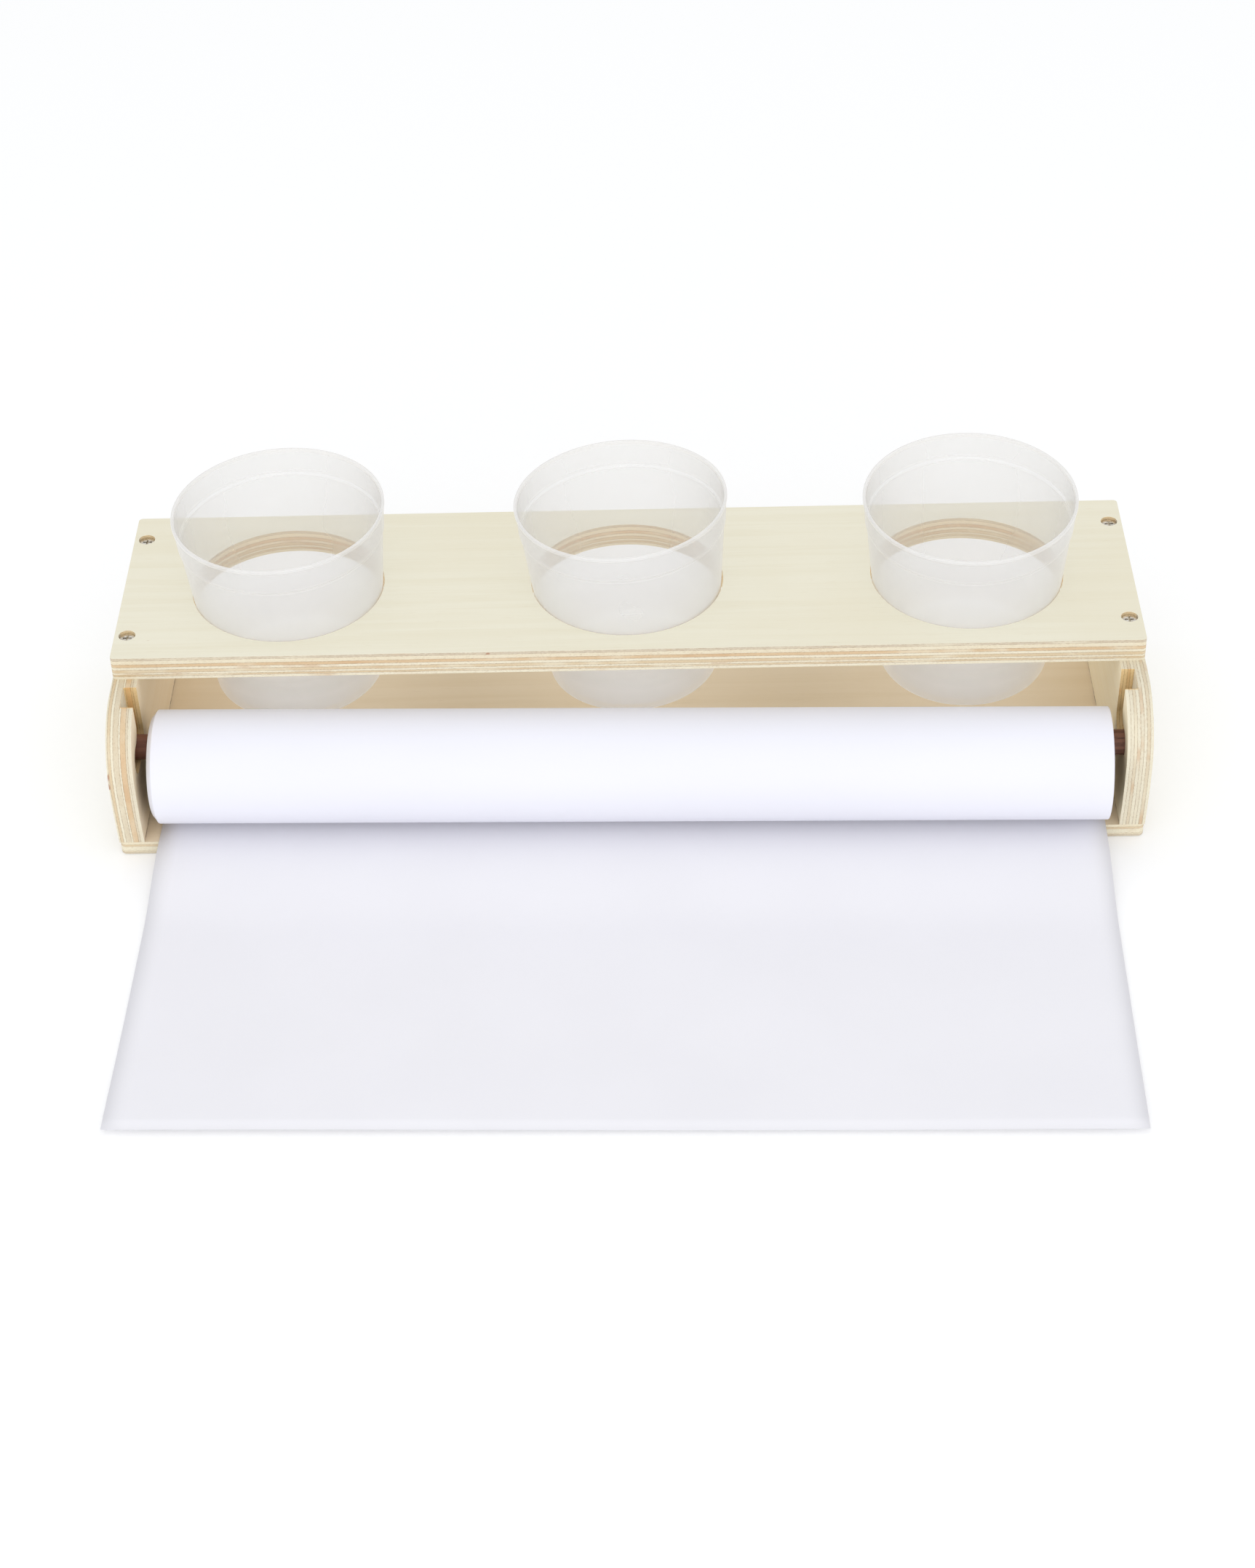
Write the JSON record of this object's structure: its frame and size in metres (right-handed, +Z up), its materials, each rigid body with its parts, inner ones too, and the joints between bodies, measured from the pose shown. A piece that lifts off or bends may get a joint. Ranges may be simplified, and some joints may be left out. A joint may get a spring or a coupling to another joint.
{
  "type": "tabletop paper roll easel",
  "caption": "Low plywood tabletop easel: a loose dowel in slotted side panels carries a drawing-paper roll, and tapered cups sit in round holes in its top board.",
  "frame": {"origin": "centre of the bottom board's underside, below the middle of the top board", "axes": "+X along the paper roll towards the user's right, -Y towards the user, who pulls the paper out that way, +Z up"},
  "size_m": [0.486, 0.3539, 0.1351],
  "materials": {
    "plywood": "clear matt",
    "screw_steel": "zinc plated",
    "dowel_wood": "matt",
    "core_cardboard": "matt",
    "paper": "matt",
    "cup_plastic": "frosted"
  },
  "bodies": {
    "base": {"top_board": "plywood", "left_side": "plywood", "right_side": "plywood", "bottom_board": "plywood", "top_screws": "screw_steel", "base_screws": "screw_steel"},
    "dowel": {"dowel": "dowel_wood"},
    "roll": {"paper_core": "core_cardboard", "paper_roll": "paper"},
    "sheet": {"paper_sheet": "paper"},
    "cup_left": {"cup_left": "cup_plastic"},
    "cup_middle": {"cup_middle": "cup_plastic"},
    "cup_right": {"cup_right": "cup_plastic"}
  },
  "joints": [
    {"name": "cup_left_lift", "type": "slide", "parent": "base", "child": "cup_left", "axis": [0, 0, 1], "range_m": [0, 0.11]},
    {"name": "cup_middle_lift", "type": "slide", "parent": "base", "child": "cup_middle", "axis": [0, 0, 1], "range_m": [0, 0.11]},
    {"name": "cup_right_lift", "type": "slide", "parent": "base", "child": "cup_right", "axis": [0, 0, 1], "range_m": [0, 0.11]},
    {"name": "dowel_play", "type": "slide", "parent": "base", "child": "dowel", "axis": [0, 1, 0], "range_m": [0, 0.005]},
    {"name": "roll_spin", "type": "hinge", "parent": "dowel", "child": "roll", "pos_m": [0, -0.0815, 0.0353], "axis": [-0.9998, 0.0218, 0], "range_deg": [0, 360]},
    {"name": "sheet_feed", "type": "slide", "parent": "dowel", "child": "sheet", "axis": [-0.0218, -0.9998, 0], "range_m": [0, 0.17]}
  ],
  "couplings": [
    {"joint": "sheet_feed", "follows": "roll_spin", "m_per_rad": 0.0269}
  ]
}
